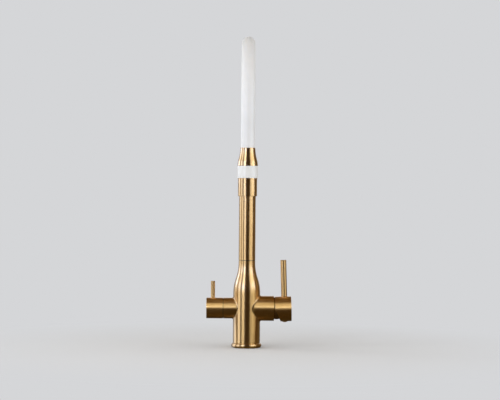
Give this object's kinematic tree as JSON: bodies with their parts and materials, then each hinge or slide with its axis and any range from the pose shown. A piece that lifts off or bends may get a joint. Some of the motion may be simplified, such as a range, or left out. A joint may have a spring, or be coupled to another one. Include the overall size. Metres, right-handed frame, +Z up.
{
  "type": "three way filtered water tap",
  "caption": "Tall satin brass kitchen tap: mixer handle right, filter handle left, and a white hose arching over to a spray head that rests in a dock ring on an arm.",
  "frame": {"origin": "on the tap's axis at the deck's top face, at the top of the exposed shank", "axes": "+Z up along the tap's axis, the spout reaches out along -Y, +X is the mixer handle's side"},
  "size_m": [0.1438, 0.2518, 0.5627],
  "materials": {
    "satin_brass": "satin, finely brushed",
    "plain_brass": "machined",
    "steel": "machined",
    "white_silicone": "smooth, matt",
    "white_plastic": "smooth, matt",
    "grey_hose": "smooth",
    "clear_white_tube": "smooth",
    "cartridge_plastic": "moulded",
    "ceramic": "lapped, glossy",
    "black_rubber": "matt",
    "dark_plastic": "moulded, matt"
  },
  "bodies": {
    "root": {"tap_body": "satin_brass", "base_ring": "satin_brass", "base_seal": "black_rubber", "threaded_shank": "plain_brass", "swivel_washer": "dark_plastic", "swivel_lock_screw": "steel", "filter_nipple": "plain_brass", "mixer_port_seals": "black_rubber", "mixer_cartridge_base": "cartridge_plastic", "mixer_fixed_disc": "ceramic", "mixer_cartridge_housing": "cartridge_plastic", "mixer_cartridge_nut": "plain_brass", "mixer_dome_cover": "satin_brass", "filter_seat_seal": "black_rubber", "filter_fixed_disc": "ceramic", "filter_headwork": "plain_brass", "filter_joint_ring": "dark_plastic"},
    "spout": {"spout_column": "satin_brass", "swivel_insert": "plain_brass", "swivel_orings": "black_rubber", "riser_bush": "cartridge_plastic", "riser_oring": "black_rubber", "filter_riser_tube": "clear_white_tube", "riser_coupler": "plain_brass", "column_ferrule": "satin_brass", "hose_connector": "plain_brass", "silicone_hose": "white_silicone", "mixed_water_hose": "grey_hose", "filtered_hose": "clear_white_tube", "dock_collar": "satin_brass", "dock_collar_screw": "steel", "dock_arm": "satin_brass", "dock_ring": "white_plastic"},
    "mixer_turret": {"mixer_turret": "cartridge_plastic", "mixer_pivot_pin": "steel"},
    "mixer_disc": {"mixer_moving_disc": "ceramic", "mixer_disc_carrier": "cartridge_plastic"},
    "mixer_handle": {"mixer_spindle": "plain_brass", "mixer_cap": "satin_brass", "mixer_lever": "satin_brass", "mixer_cap_screw": "steel", "mixer_cap_plug": "satin_brass"},
    "filter_handle": {"filter_moving_disc": "ceramic", "filter_spindle": "plain_brass", "filter_spindle_orings": "black_rubber", "filter_cap": "satin_brass", "filter_lever": "satin_brass", "filter_cap_screw": "steel"},
    "spray_head": {"spray_cone": "satin_brass", "spray_barrel": "satin_brass", "head_hose_tail": "plain_brass", "head_gasket": "black_rubber", "head_core": "cartridge_plastic", "head_oring": "black_rubber", "nozzle_plate": "dark_plastic", "filter_nozzle": "white_plastic"}
  },
  "joints": [
    {"name": "spout_swivel", "type": "hinge", "parent": "root", "child": "spout", "pos_m": [0, 0, 0.1465], "axis": [0, 0, 1], "range_deg": [-180, 180]},
    {"name": "head_lift", "type": "slide", "parent": "spout", "child": "spray_head", "axis": [0, 0, 1], "range_m": [0, 0.06], "deforming": ["silicone_hose", "mixed_water_hose", "filtered_hose"]},
    {"name": "mixer_temperature", "type": "hinge", "parent": "root", "child": "mixer_turret", "pos_m": [0.05, 0, 0.066], "axis": [1, 0, 0], "range_deg": [-45, 45]},
    {"name": "mixer_flow", "type": "hinge", "parent": "mixer_turret", "child": "mixer_handle", "pos_m": [0.05, 0, 0.066], "axis": [0, 1, 0], "range_deg": [0, 24]},
    {"name": "mixer_disc_slide", "type": "slide", "parent": "mixer_turret", "child": "mixer_disc", "axis": [0, 0, 1], "range_m": [0, 0.0042]},
    {"name": "filter_turn", "type": "hinge", "parent": "root", "child": "filter_handle", "pos_m": [-0.04, 0, 0.066], "axis": [1, 0, 0], "range_deg": [0, 90]}
  ],
  "couplings": [
    {"joint": "mixer_disc_slide", "follows": "mixer_flow", "m_per_rad": 0.00977}
  ]
}
